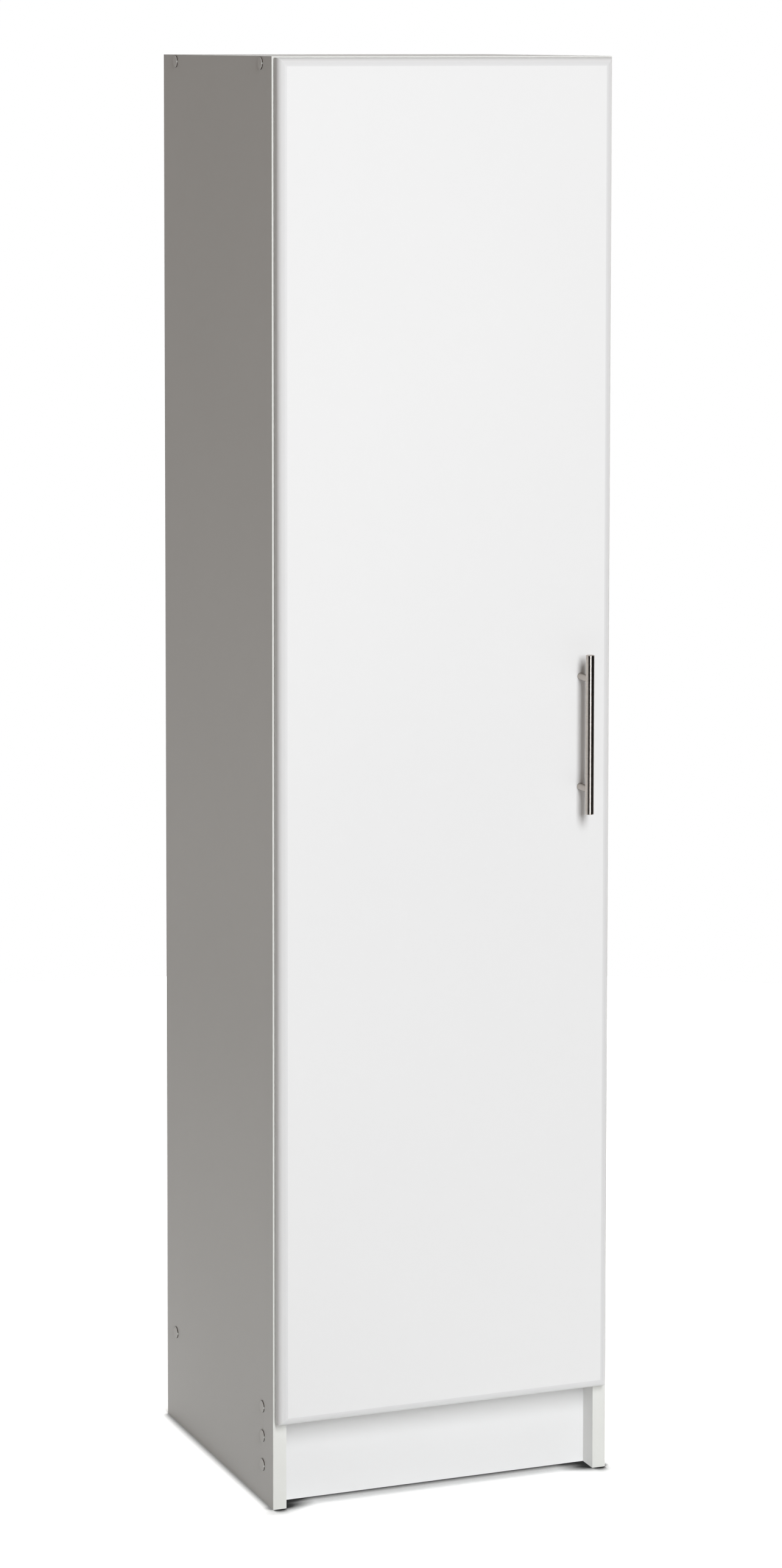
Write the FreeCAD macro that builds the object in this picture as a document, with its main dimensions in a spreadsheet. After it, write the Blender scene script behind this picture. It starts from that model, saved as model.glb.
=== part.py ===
import FreeCAD, Part
import Sketcher
import math
import os

# Broom cupboard of laminated board, millimetres.
# Origin: centre of the footprint on the floor. +X to the right, -Y to the front, +Z up.

# ---------------------------------------------------------------- driving sizes

SIZES = {
    # whole cupboard
    "overall_height": 1651.0,
    "overall_width": 414.0,
    "carcass_depth": 373.0,
    "board_thickness": 16.0,
    "band_thickness": 0.5,
    # back panel in the rebates of the side panels
    "back_thickness": 3.2,
    "rebate_width": 8.0,
    "back_clearance": 0.5,
    "back_top_setback": 2.0,
    "nail_diameter": 1.6,
    "nail_length": 19.0,
    "nail_head_diameter": 4.0,
    "nail_head_thickness": 0.5,
    "nail_pitch": 180.0,
    "nail_end_distance": 60.0,
    # kick plate
    "kick_height": 102.0,
    "kick_recess": 27.0,
    # carcass screws and their caps
    "screw_front_distance": 36.0,
    "top_screw_rear_distance": 44.0,
    "bottom_screw_rear_distance": 33.0,
    "kick_screw_low": 42.0,
    "kick_screw_high": 76.0,
    "screw_length": 50.0,
    "screw_shank_diameter": 7.0,
    "screw_core_diameter": 5.0,
    "screw_head_diameter": 10.0,
    "screw_head_height": 4.0,
    "screw_head_sink": 0.3,
    "screw_socket_diameter": 4.0,
    "screw_socket_depth": 3.0,
    "cap_diameter": 13.8,
    "cap_thickness": 1.3,
    "cap_edge_radius": 0.5,
    "cap_stem_diameter": 3.6,
    "cap_stem_length": 2.4,
    "cap_notch_width": 3.0,
    "cap_notch_depth": 0.9,
    # upper shelf on its pins
    "shelf_drop": 305.0,
    "shelf_setback": 20.0,
    "shelf_side_clearance": 1.0,
    "pin_hole_diameter": 5.0,
    "pin_hole_depth": 10.0,
    "pin_pitch": 32.0,
    "pin_holes_above": 3.0,
    "pin_holes_below": 3.0,
    "pin_front_distance": 55.0,
    "pin_rear_distance": 60.0,
    "pin_shank_length": 8.0,
    "pin_head_diameter": 7.0,
    "pin_head_length": 7.0,
    # hanging rail under the shelf
    "rail_height": 80.0,
    "rail_drop": 30.0,
    "rail_wall_hole_diameter": 5.5,
    "rail_wall_hole_spacing": 256.0,
    "cam_diameter": 15.0,
    "cam_height": 12.5,
    "cam_end_distance": 24.0,
    "cam_slot_width": 2.0,
    "cam_slot_depth": 2.5,
    "cam_bolt_diameter": 5.0,
    "cam_bolt_head_diameter": 7.0,
    "cam_bolt_head_length": 2.5,
    "cam_bolt_sunk_length": 11.0,
    "dowel_diameter": 8.0,
    "dowel_length": 30.0,
    "dowel_sunk_length": 10.0,
    "rail_joint_spacing": 32.0,
    # door
    "door_thickness": 16.0,
    "door_gap": 2.0,
    "door_hinge_reveal": 2.0,
    "door_handle_reveal": 5.0,
    "door_top_reveal": 1.5,
    "door_foot_height": 101.0,
    "door_edge_radius": 9.5,
    "bumper_diameter": 8.0,
    "bumper_clearance": 0.3,
    "bumper_end_distance": 40.0,
    # bar handle
    "handle_edge_distance": 39.0,
    "handle_centre_height": 876.5,
    "handle_hole_spacing": 128.0,
    "handle_length": 184.0,
    "handle_bar_diameter": 10.0,
    "handle_post_diameter": 8.0,
    "handle_projection": 32.0,
    "handle_end_radius": 0.8,
    "handle_screw_diameter": 4.0,
    "handle_screw_grip": 9.0,
    "handle_screw_head_diameter": 9.0,
    "handle_screw_head_height": 1.6,
    "handle_screw_slot_length": 4.6,
    "handle_screw_slot_width": 1.0,
    "handle_screw_slot_depth": 0.9,
    # concealed cup hinges, three on the left side
    "hinge_end_distance": 100.0,
    "cup_centre_distance": 21.5,
    "cup_diameter": 35.0,
    "cup_depth": 11.6,
    "cup_wall": 0.8,
    "cup_bore_clearance": 0.1,
    "cup_flange_thickness": 1.0,
    "cup_flange_rim": 1.5,
    "cup_wing_width": 12.0,
    "cup_wing_overhang": 5.0,
    "cup_screw_spacing": 48.0,
    "cup_screw_inset": 6.0,
    "cup_screw_diameter": 3.0,
    "cup_screw_length": 11.0,
    "cup_screw_head_diameter": 6.0,
    "cup_screw_head_height": 0.7,
    "plate_thickness": 2.5,
    "plate_wing_height": 48.0,
    "plate_wing_width": 13.0,
    "plate_screw_distance": 37.0,
    "plate_screw_spacing": 32.0,
    "plate_screw_diameter": 5.0,
    "plate_screw_length": 12.0,
    "plate_screw_head_diameter": 8.0,
    "plate_screw_head_height": 1.6,
    "plate_spine_length": 36.0,
    "plate_spine_height": 11.0,
    "arm_cheek_clearance": 0.6,
    "arm_wall": 1.2,
    "arm_rear_distance": 62.0,
    "arm_neck_distance": 16.0,
    "arm_shoulder_distance": 33.0,
    "arm_back_rise": 7.4,
    "arm_nose_radius": 2.4,
    "arm_screw_diameter": 4.0,
    "arm_screw_head_diameter": 7.0,
    "arm_screw_head_height": 1.5,
    "arm_screw_front_distance": 40.0,
    "arm_screw_rear_distance": 50.0,
    "arm_screw_depth": 4.0,
    # hinge links: arm pivots from the side panel's inner front edge, cup pivots and bends
    # from the door's hinged rear edge
    "long_link_arm_inset": 19.9,
    "long_link_arm_setback": 8.0,
    "long_link_knee_inset": 32.7,
    "long_link_knee_depth": -0.3,
    "long_link_bend_inset": 22.4,
    "long_link_bend_depth": 9.3,
    "long_link_cup_inset": 8.2,
    "long_link_cup_depth": 2.0,
    "short_link_arm_inset": 7.4,
    "short_link_arm_setback": -7.9,
    "short_link_knee_inset": 21.0,
    "short_link_knee_depth": 9.0,
    "short_link_bend_inset": 10.8,
    "short_link_bend_depth": 9.4,
    "short_link_cup_inset": 9.1,
    "short_link_cup_depth": 5.7,
    "link_pin_diameter": 2.0,
    "link_half_width": 1.0,
    "link_eye_wall": 0.6,
    "link_slot_play": 1.05,
    "long_link_outer_height": 12.0,
    "long_link_inner_height": 8.4,
    "short_link_height": 7.8,
    # general clearances
    "fastener_clearance": 0.1,
    "running_clearance": 0.05,
}

doc = FreeCAD.newDocument("broom_cupboard")
sheet = doc.addObject("Spreadsheet::Sheet", "sizes")
for row, (alias, value) in enumerate(SIZES.items(), start=1):
    sheet.set(f"A{row}", alias)
    sheet.set(f"B{row}", str(value))
    sheet.setAlias(f"B{row}", alias)
doc.recompute()


def size(alias):
    """The value of one cell of the sheet."""
    return float(sheet.get(alias))


def cells(expression):
    """An expression in which each word that is an alias reads its cell of the sheet."""
    words = []
    word = ""
    for letter in expression + " ":
        if letter.isalnum() or letter == "_":
            word += letter
            continue
        words.append("sizes." + word if word in SIZES else word)
        words.append(letter)
        word = ""
    return "".join(words).strip()


# ---------------------------------------------------------------- places used by several pieces

DEPTH = "(carcass_depth + door_gap + door_thickness + handle_projection)"
REAR = f"({DEPTH} / 2)"
FRONT = f"({DEPTH} / 2 - carcass_depth)"
LEFT = "(-overall_width / 2)"
INNER_LEFT = f"({LEFT} + board_thickness)"
INNER_RIGHT = "(overall_width / 2 - board_thickness)"
INNER_WIDTH = "(overall_width - 2 * board_thickness)"
INNER_REAR = f"({REAR} - back_thickness)"
BOARD_FRONT = f"({FRONT} + band_thickness)"
BOARD_DEPTH = "(carcass_depth - back_thickness - band_thickness)"
TOP_UNDERSIDE = "(overall_height - board_thickness)"
SHELF_UNDERSIDE = f"({TOP_UNDERSIDE} - shelf_drop - board_thickness)"
RAIL_TOP = f"({SHELF_UNDERSIDE} - rail_drop)"
RAIL_MIDDLE = f"({RAIL_TOP} - rail_height / 2)"
RAIL_FRONT = f"({INNER_REAR} - board_thickness)"
RAIL_JOINT_Y = f"({RAIL_FRONT} + board_thickness / 2)"
DOOR_REAR = f"({FRONT} - door_gap)"
DOOR_FRONT = f"({DOOR_REAR} - door_thickness)"
DOOR_LEFT = f"({LEFT} + door_hinge_reveal)"
DOOR_RIGHT = "(overall_width / 2 - door_handle_reveal)"
DOOR_WIDTH = "(overall_width - door_hinge_reveal - door_handle_reveal)"
DOOR_HEIGHT = "(overall_height - door_top_reveal - door_foot_height)"
HANDLE_X = f"({DOOR_RIGHT} - handle_edge_distance)"
HANDLE_Y = f"({DOOR_FRONT} - handle_projection + handle_bar_diameter / 2)"

ALONG_X = FreeCAD.Rotation(FreeCAD.Vector(0, 1, 0), 90)
AGAINST_X = FreeCAD.Rotation(FreeCAD.Vector(0, 1, 0), -90)
ALONG_Y = FreeCAD.Rotation(FreeCAD.Vector(1, 0, 0), -90)
AGAINST_Y = FreeCAD.Rotation(FreeCAD.Vector(1, 0, 0), 90)
ALONG_Z = FreeCAD.Rotation()

ORIGIN = (-1, 1)    # the sketch's own origin, as (geometry, point)
TINY = 1e-6

pieces = []


# ---------------------------------------------------------------- helpers

def bind(thing, expressions):
    """Tie properties of an object to cells of the sheet."""
    for path, expression in expressions.items():
        thing.setExpression(path, cells(expression))
    return thing


def number(expression):
    """The present value of an expression."""
    return float(sheet.evalExpression(cells(expression)))


def place(thing, at, turn=ALONG_Z):
    """Put an object at a point given by three expressions, turned by a fixed rotation."""
    thing.Placement = FreeCAD.Placement(FreeCAD.Vector(), turn)
    return bind(thing, {f"Placement.Base.{axis}": where for axis, where in zip("xyz", at)})


def piece(thing, label):
    """Name an object as a finished sub-part."""
    thing.Label = label
    pieces.append(thing)
    return thing


def box(extent, at):
    block = doc.addObject("Part::Box", "block")
    bind(block, dict(zip(("Length", "Width", "Height"), extent)))
    return place(block, at)


def rod(diameter, length, at, turn=ALONG_Z):
    cylinder = doc.addObject("Part::Cylinder", "rod")
    bind(cylinder, {"Radius": f"({diameter}) / 2", "Height": length})
    return place(cylinder, at, turn)


def fuse(shapes):
    joined = doc.addObject("Part::MultiFuse", "joined")
    joined.Shapes = shapes
    return joined


def cut(base, tool):
    left = doc.addObject("Part::Cut", "remainder")
    left.Base = base
    left.Tool = tool
    return left


def group(label, shapes):
    """Identical separate solids as one sub-part."""
    together = doc.addObject("Part::Compound", label)
    together.Links = shapes
    return piece(together, label)


def copy_of(thing, at, turn=ALONG_Z):
    """A placed repeat of an object that is modelled once at the origin."""
    link = doc.addObject("App::Link", "repeat")
    link.LinkedObject = thing
    return place(link, at, turn)


def new_body(label, at):
    body = doc.addObject("PartDesign::Body", label)
    place(body, at)
    return piece(body, label)


def new_sketch(body, plane, offset="0"):
    """A sketch on one of the body's own origin planes, or parallel to it at an offset."""
    sketch = body.newObject("Sketcher::SketchObject", "sketch")
    support = next(item for item in body.Origin.OriginFeatures if item.Role == plane)
    sketch.AttachmentSupport = (support, [""])
    sketch.MapMode = "FlatFace"
    return bind(sketch, {"AttachmentOffset.Base.z": offset})


def dimension(sketch, kind, first, second, expression):
    """A driven distance between two (geometry, point) pairs, tied to the sheet."""
    index = sketch.addConstraint(Sketcher.Constraint(kind, *first, *second, number(expression)))
    bind(sketch, {f"Constraints[{index}]": expression})


def rectangle(sketch, corner, extent):
    """A rectangle whose corner and extent are expressions."""
    x, y = number(corner[0]), number(corner[1])
    width, height = number(extent[0]), number(extent[1])
    points = [FreeCAD.Vector(*at, 0) for at in
              ((x, y), (x + width, y), (x + width, y + height), (x, y + height))]
    first = sketch.GeometryCount
    for start, end in zip(points, points[1:] + points[:1]):
        sketch.addGeometry(Part.LineSegment(start, end))
    for side in range(4):
        after = first + (side + 1) % 4
        sketch.addConstraint(Sketcher.Constraint("Coincident", first + side, 2, after, 1))
        flat = "Horizontal" if side % 2 == 0 else "Vertical"
        sketch.addConstraint(Sketcher.Constraint(flat, first + side))
    dimension(sketch, "DistanceX", ORIGIN, (first, 1), corner[0])
    dimension(sketch, "DistanceY", ORIGIN, (first, 1), corner[1])
    dimension(sketch, "DistanceX", (first, 1), (first, 2), extent[0])
    dimension(sketch, "DistanceY", (first + 1, 1), (first + 1, 2), extent[1])


def circle(sketch, centre, diameter):
    """A circle whose centre and diameter are expressions."""
    middle = FreeCAD.Vector(number(centre[0]), number(centre[1]), 0)
    radius = number(diameter) / 2
    index = sketch.addGeometry(Part.Circle(middle, FreeCAD.Vector(0, 0, 1), radius))
    dimension(sketch, "DistanceX", ORIGIN, (index, 3), centre[0])
    dimension(sketch, "DistanceY", ORIGIN, (index, 3), centre[1])
    round_size = sketch.addConstraint(Sketcher.Constraint("Diameter", index, number(diameter)))
    bind(sketch, {f"Constraints[{round_size}]": diameter})


def pad(body, sketch, length):
    feature = body.newObject("PartDesign::Pad", "pad")
    feature.Profile = sketch
    bind(feature, {"Length": length})
    body.Tip = feature
    return feature


def pocket(body, sketch, depth, along_normal):
    """Cut a sketch into the body, along the sketch's normal or against it."""
    feature = body.newObject("PartDesign::Pocket", "pocket")
    feature.Profile = sketch
    feature.Reversed = along_normal
    bind(feature, {"Length": depth})
    body.Tip = feature
    return feature


def drill(body, plane, offset, along_normal, centres, diameter, depth):
    """Round holes of one diameter and depth, all from one plane."""
    sketch = new_sketch(body, plane, offset)
    for centre in centres:
        circle(sketch, centre, diameter)
    return pocket(body, sketch, depth, along_normal)


def repeat_up(body, feature, count, pitch):
    """Copies of a cut at equal steps along +Z."""
    pattern = body.newObject("PartDesign::LinearPattern", "row")
    pattern.Originals = [feature]
    axis = next(item for item in body.Origin.OriginFeatures if item.Role == "Z_Axis")
    pattern.Direction = (axis, [""])
    bind(pattern, {"Length": f"(({count}) - 1) * ({pitch})", "Occurrences": count})
    body.Tip = pattern
    return pattern


def board(label, extent, at):
    """A plain board with its lower front left corner at a point."""
    body = new_body(label, at)
    sketch = new_sketch(body, "XY_Plane")
    rectangle(sketch, ("0", "0"), extent[:2])
    pad(body, sketch, extent[2])
    return body


# ---------------------------------------------------------------- carcass

TOP_SCREW_Z = f"({TOP_UNDERSIDE} + board_thickness / 2)"
BOTTOM_SCREW_Z = "(kick_height + board_thickness / 2)"
KICK_SCREW_Y = "(kick_recess + board_thickness / 2)"

# (distance behind the front edge, height above the floor) of the screws in each side panel
SCREW_PLACES = (
    ("screw_front_distance", TOP_SCREW_Z),
    ("(carcass_depth - top_screw_rear_distance)", TOP_SCREW_Z),
    ("screw_front_distance", BOTTOM_SCREW_Z),
    ("(carcass_depth - bottom_screw_rear_distance)", BOTTOM_SCREW_Z),
    (KICK_SCREW_Y, "kick_screw_low"),
    (KICK_SCREW_Y, "kick_screw_high"),
)

SHANK_HOLE = "(screw_shank_diameter + 2 * fastener_clearance)"
HEAD_HOLE = "(screw_head_diameter + 2 * fastener_clearance)"
CORE_HOLE = "(screw_core_diameter + 2 * fastener_clearance)"
HEAD_HOLE_DEPTH = "(screw_head_height + screw_head_sink + fastener_clearance)"
CORE_HOLE_DEPTH = ("(screw_length + screw_head_sink - board_thickness"
                   " + 4 * fastener_clearance)")
PIN_COLUMNS = ("pin_front_distance", "(carcass_depth - pin_rear_distance)")
PIN_ROW_Z = f"({SHELF_UNDERSIDE} - pin_head_diameter / 2 - fastener_clearance)"
PIN_ROW_START = f"({PIN_ROW_Z} - pin_holes_below * pin_pitch)"
RAIL_JOINTS_Z = (f"({RAIL_MIDDLE} - rail_joint_spacing / 2)",
                 f"({RAIL_MIDDLE} + rail_joint_spacing / 2)")
NAIL_HOLE = "(nail_diameter + 2 * fastener_clearance)"
NAIL_HOLE_DEPTH = "(nail_length - back_thickness + 4 * fastener_clearance)"
NAIL_HEAD_HOLE = "(nail_head_diameter + 2 * fastener_clearance)"

# The nail rows start half a pitch above and below the rail's middle, clear of its end joints.
NAIL_ROWS_BELOW = (f"(floor(({RAIL_MIDDLE} - nail_pitch / 2 - kick_height"
                   " - nail_end_distance) / nail_pitch) + 1)")
NAIL_ROWS_ABOVE = (f"(floor((overall_height - nail_end_distance - {RAIL_MIDDLE}"
                   " - nail_pitch / 2) / nail_pitch) + 1)")
NAIL_COUNT = f"({NAIL_ROWS_BELOW} + {NAIL_ROWS_ABOVE})"
NAIL_START = f"({RAIL_MIDDLE} + nail_pitch / 2 - {NAIL_ROWS_BELOW} * nail_pitch)"


def side_panel(label, left):
    """A full-height side; its local x runs from the cupboard's left to its right."""
    at = (LEFT if left else INNER_RIGHT, BOARD_FRONT, "0")
    extent = ("board_thickness", "(carcass_depth - band_thickness)", "overall_height")
    panel = board(label, extent, at)
    outer, inner = ("0", "board_thickness") if left else ("board_thickness", "0")

    rebate = new_sketch(panel, "XY_Plane")
    rebate_x = "(board_thickness - rebate_width)" if left else "0"
    rectangle(rebate, (rebate_x, BOARD_DEPTH), ("rebate_width", "back_thickness"))
    pocket(panel, rebate, "overall_height", True)

    def behind(distance):
        return f"({distance} - band_thickness)"

    screws = [(behind(y), z) for y, z in SCREW_PLACES]
    drill(panel, "YZ_Plane", outer, left, screws, SHANK_HOLE, "board_thickness")
    drill(panel, "YZ_Plane", outer, left, screws, HEAD_HOLE, HEAD_HOLE_DEPTH)

    joint_y = f"({RAIL_JOINT_Y} - {BOARD_FRONT})"
    bolt_hole = "(cam_bolt_diameter + 2 * fastener_clearance)"
    drill(panel, "YZ_Plane", inner, not left, [(joint_y, RAIL_JOINTS_Z[1])],
          bolt_hole, "(cam_bolt_sunk_length + 2 * fastener_clearance)")
    dowel_hole = "(dowel_diameter + 2 * fastener_clearance)"
    drill(panel, "YZ_Plane", inner, not left, [(joint_y, RAIL_JOINTS_Z[0])],
          dowel_hole, "(dowel_sunk_length + 2 * fastener_clearance)")

    if left:
        plate_holes = [(behind("plate_screw_distance"), z)
                       for hinge_z in HINGE_HEIGHTS for z in plate_screw_heights(hinge_z)]
        drill(panel, "YZ_Plane", inner, False, plate_holes,
              "(plate_screw_diameter + 2 * fastener_clearance)",
              "(plate_screw_length + 2 * fastener_clearance)")

    holes = [(behind(y), PIN_ROW_START) for y in PIN_COLUMNS]
    first_pins = drill(panel, "YZ_Plane", inner, not left, holes, "pin_hole_diameter",
                       "pin_hole_depth")
    repeat_up(panel, first_pins, "(pin_holes_below + 1 + pin_holes_above)", "pin_pitch")

    nail_x = ("(board_thickness - rebate_width / 2)" if left else "(rebate_width / 2)")
    first_nail = drill(panel, "XZ_Plane", f"(-{BOARD_DEPTH})", True,
                       [(nail_x, NAIL_START)], NAIL_HOLE, NAIL_HOLE_DEPTH)
    repeat_up(panel, first_nail, NAIL_COUNT, "nail_pitch")
    return panel


def cross_panel(label, z):
    """The top or the bottom, screwed between the sides through their end edges."""
    panel = board(label, (INNER_WIDTH, BOARD_DEPTH, "board_thickness"),
                  (INNER_LEFT, BOARD_FRONT, z))
    rear = "top_screw_rear_distance" if label == "top_panel" else "bottom_screw_rear_distance"
    middle = "(board_thickness / 2)"
    ends = [("(screw_front_distance - band_thickness)", middle),
            (f"(carcass_depth - {rear} - band_thickness)", middle)]
    drill(panel, "YZ_Plane", "0", True, ends, CORE_HOLE, CORE_HOLE_DEPTH)
    drill(panel, "YZ_Plane", INNER_WIDTH, False, ends, CORE_HOLE, CORE_HOLE_DEPTH)
    nails = [(f"({INNER_WIDTH} / 4)", middle), (f"({INNER_WIDTH} * 3 / 4)", middle)]
    drill(panel, "XZ_Plane", f"(-{BOARD_DEPTH})", True, nails, NAIL_HOLE, NAIL_HOLE_DEPTH)
    return panel


def kick_plate():
    plate = board("kick_plate", (INNER_WIDTH, "board_thickness", "kick_height"),
                  (INNER_LEFT, f"({FRONT} + kick_recess)", "0"))
    ends = [("(board_thickness / 2)", "kick_screw_low"),
            ("(board_thickness / 2)", "kick_screw_high")]
    drill(plate, "YZ_Plane", "0", True, ends, CORE_HOLE, CORE_HOLE_DEPTH)
    drill(plate, "YZ_Plane", INNER_WIDTH, False, ends, CORE_HOLE, CORE_HOLE_DEPTH)
    return plate


BACK_WIDTH = f"({INNER_WIDTH} + 2 * (rebate_width - back_clearance))"
BACK_LEFT = f"(-{BACK_WIDTH} / 2)"
BACK_HEIGHT = "(overall_height - back_top_setback - kick_height)"


def nail_places():
    """Centres of the nails in the back panel, as (x, z)."""
    edge = f"({INNER_WIDTH} / 2 + rebate_width / 2)"
    rows = [f"({NAIL_START} + {step} * nail_pitch)" for step in range(int(number(NAIL_COUNT)))]
    places = [(side + edge, z) for z in rows for side in ("-", "")]
    for z in (BOTTOM_SCREW_Z, TOP_SCREW_Z):
        places += [(f"(-{INNER_WIDTH} / 4)", z), (f"({INNER_WIDTH} / 4)", z)]
    return places


def back_panel():
    """Thin hardboard nailed into the rebates and onto the top and bottom panels."""
    panel = board("back_panel", (BACK_WIDTH, "back_thickness", BACK_HEIGHT),
                  (BACK_LEFT, INNER_REAR, "kick_height"))
    nails = [(f"({x} - {BACK_LEFT})", f"({z} - kick_height)") for x, z in nail_places()]
    drill(panel, "XZ_Plane", "0", False, nails, NAIL_HOLE, "back_thickness")
    drill(panel, "XZ_Plane", "(-back_thickness)", True, nails, NAIL_HEAD_HOLE,
          "nail_head_thickness")
    wall_holes = [(f"({x} - {BACK_LEFT})", f"({RAIL_MIDDLE} - kick_height)")
                  for x in ("(-rail_wall_hole_spacing / 2)", "(rail_wall_hole_spacing / 2)")]
    drill(panel, "XZ_Plane", "0", False, wall_holes, "rail_wall_hole_diameter",
          "back_thickness")
    return panel


def back_nails():
    """Nails driven in until their heads are level with the back panel's rear face."""
    shank = rod("nail_diameter", "nail_length", ("0", "0", "0"))
    head = rod("nail_head_diameter", "nail_head_thickness", ("0", "0", "0"))
    nail = fuse([shank, head])
    return group("back_panel_nails",
                 [copy_of(nail, (x, REAR, z), AGAINST_Y) for x, z in nail_places()])


def edge_band(label, extent, at):
    """A thin strip glued over the front edge of a board."""
    return piece(box(extent, at), label)


def edge_bands():
    for label, x in (("side_panel_left_edge_band", LEFT),
                     ("side_panel_right_edge_band", INNER_RIGHT)):
        edge_band(label, ("board_thickness", "band_thickness", "overall_height"),
                  (x, FRONT, "0"))
    for label, z in (("top_panel_edge_band", TOP_UNDERSIDE),
                     ("bottom_panel_edge_band", "kick_height")):
        edge_band(label, (INNER_WIDTH, "band_thickness", "board_thickness"),
                  (INNER_LEFT, FRONT, z))
    edge_band("upper_shelf_edge_band", (SHELF_WIDTH, "band_thickness", "board_thickness"),
              (SHELF_LEFT, f"({FRONT} + shelf_setback)", SHELF_UNDERSIDE))


def screw_sites():
    """Where the carcass screws enter, as (point, direction) pairs on both sides."""
    sites = []
    for distance, z in SCREW_PLACES:
        y = f"({FRONT} + {distance})"
        sites.append(((LEFT, y, z), ALONG_X))
        sites.append((("(overall_width / 2)", y, z), AGAINST_X))
    return sites


def carcass_screws():
    """Connecting screws: a flat head with a socket, a thick shank and a thinner thread core."""
    head = rod("screw_head_diameter", "screw_head_height", ("0", "0", "screw_head_sink"))
    shank = rod("screw_shank_diameter", "(board_thickness - screw_head_sink)",
                ("0", "0", "screw_head_sink"))
    core = rod("screw_core_diameter", "screw_length", ("0", "0", "screw_head_sink"))
    socket = rod("screw_socket_diameter", "screw_socket_depth", ("0", "0", "screw_head_sink"))
    screw = cut(fuse([head, shank, core]), socket)
    return group("carcass_screws", [copy_of(screw, at, turn) for at, turn in screw_sites()])


def screw_cover_caps():
    """Round caps over the screw heads, each held by its stem, with a notch to lever it off."""
    lid = rod("cap_diameter", "cap_thickness", ("0", "0", "(-cap_thickness)"))
    rounded = doc.addObject("Part::Fillet", "rounded")
    rounded.Base = lid
    doc.recompute()
    rim = [index for index, edge in enumerate(lid.Shape.Edges, start=1)
           if edge.Closed and edge.CenterOfMass.z < -size("cap_thickness") / 2]
    rounded.Edges = [(index, size("cap_edge_radius"), size("cap_edge_radius")) for index in rim]
    stem = rod("cap_stem_diameter", "cap_stem_length", ("0", "0", "0"))
    notch = box(("cap_notch_width", "cap_notch_depth", "(cap_thickness / 2)"),
                ("(-cap_notch_width / 2)", "(-cap_diameter / 2)", "(-cap_thickness / 2)"))
    cap = cut(fuse([rounded, stem]), notch)
    return group("screw_cover_caps", [copy_of(cap, at, turn) for at, turn in screw_sites()])


# ---------------------------------------------------------------- shelf and hanging rail

SHELF_WIDTH = f"({INNER_WIDTH} - 2 * shelf_side_clearance)"
SHELF_LEFT = f"(-{SHELF_WIDTH} / 2)"
SHELF_DEPTH = "(carcass_depth - back_thickness - shelf_setback - band_thickness)"


def upper_shelf():
    return board("upper_shelf", (SHELF_WIDTH, SHELF_DEPTH, "board_thickness"),
                 (SHELF_LEFT, f"({FRONT} + shelf_setback + band_thickness)", SHELF_UNDERSIDE))


def shelf_pins():
    """Plain pins: a shank in the side panel and a thicker head under the shelf."""
    shank = rod("(pin_hole_diameter - 2 * fastener_clearance)", "pin_shank_length",
                ("0", "0", "0"))
    head = rod("pin_head_diameter", "pin_head_length", ("0", "0", "(-pin_head_length)"))
    pin = fuse([shank, head])
    sites = []
    for distance in PIN_COLUMNS:
        y = f"({FRONT} + {distance})"
        sites.append(((INNER_LEFT, y, PIN_ROW_Z), AGAINST_X))
        sites.append(((INNER_RIGHT, y, PIN_ROW_Z), ALONG_X))
    return group("shelf_pins", [copy_of(pin, at, turn) for at, turn in sites])


RAIL_BOTTOM = f"({RAIL_TOP} - rail_height)"
CAM_BORE = "(cam_diameter + 2 * fastener_clearance)"
CAM_CENTRES_X = (f"({INNER_LEFT} + cam_end_distance)", f"({INNER_RIGHT} - cam_end_distance)")
BOLT_LENGTH = "(cam_bolt_sunk_length + cam_end_distance)"


def hanging_rail():
    """A board across the back that takes the wall screws, held by a cam and a dowel per end."""
    rail = board("hanging_rail", (INNER_WIDTH, "board_thickness", "rail_height"),
                 (INNER_LEFT, RAIL_FRONT, RAIL_BOTTOM))
    cam_z = f"({RAIL_JOINTS_Z[1]} - {RAIL_BOTTOM})"
    dowel_z = f"({RAIL_JOINTS_Z[0]} - {RAIL_BOTTOM})"
    middle = "(board_thickness / 2)"
    bolt_bore = "(cam_bolt_head_diameter + 2 * fastener_clearance)"
    dowel_bore = "(dowel_diameter + 2 * fastener_clearance)"
    dowel_depth = "(dowel_length - dowel_sunk_length + 2 * fastener_clearance)"
    for offset, inward in (("0", True), (INNER_WIDTH, False)):
        drill(rail, "YZ_Plane", offset, inward, [(middle, cam_z)], bolt_bore,
              "cam_end_distance")
        drill(rail, "YZ_Plane", offset, inward, [(middle, dowel_z)], dowel_bore, dowel_depth)
    cams = [(f"({x} - {INNER_LEFT})", cam_z) for x in CAM_CENTRES_X]
    drill(rail, "XZ_Plane", "(-board_thickness)", True, cams, CAM_BORE,
          "(cam_height + fastener_clearance)")
    wall_holes = [(f"({INNER_WIDTH} / 2 {side} rail_wall_hole_spacing / 2)",
                   "(rail_height / 2)") for side in ("-", "+")]
    drill(rail, "XZ_Plane", "0", False, wall_holes, "rail_wall_hole_diameter",
          "board_thickness")
    return rail


def rail_cams():
    """Cam discs let into the rear face, each hollow towards the bolt it grips."""
    cams = []
    for x, side in zip(CAM_CENTRES_X, ("-", "+")):
        y = f"({RAIL_FRONT} + board_thickness - cam_height)"
        z = RAIL_JOINTS_Z[1]
        drum = rod("cam_diameter", "cam_height", (x, y, z), ALONG_Y)
        opening = "(cam_bolt_head_diameter + 4 * fastener_clearance)"
        start = f"({x} - cam_diameter)" if side == "-" else x
        hollow = box(("(cam_diameter)", opening, opening),
                     (start, f"({RAIL_JOINT_Y} - {opening} / 2)", f"({z} - {opening} / 2)"))
        slot = box(("cam_diameter", "cam_slot_depth", "cam_slot_width"),
                   (f"({x} - cam_diameter / 2)", f"({INNER_REAR} - cam_slot_depth)",
                    f"({z} - cam_slot_width / 2)"))
        cams.append(cut(cut(drum, hollow), slot))
    return group("rail_cams", cams)


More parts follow.
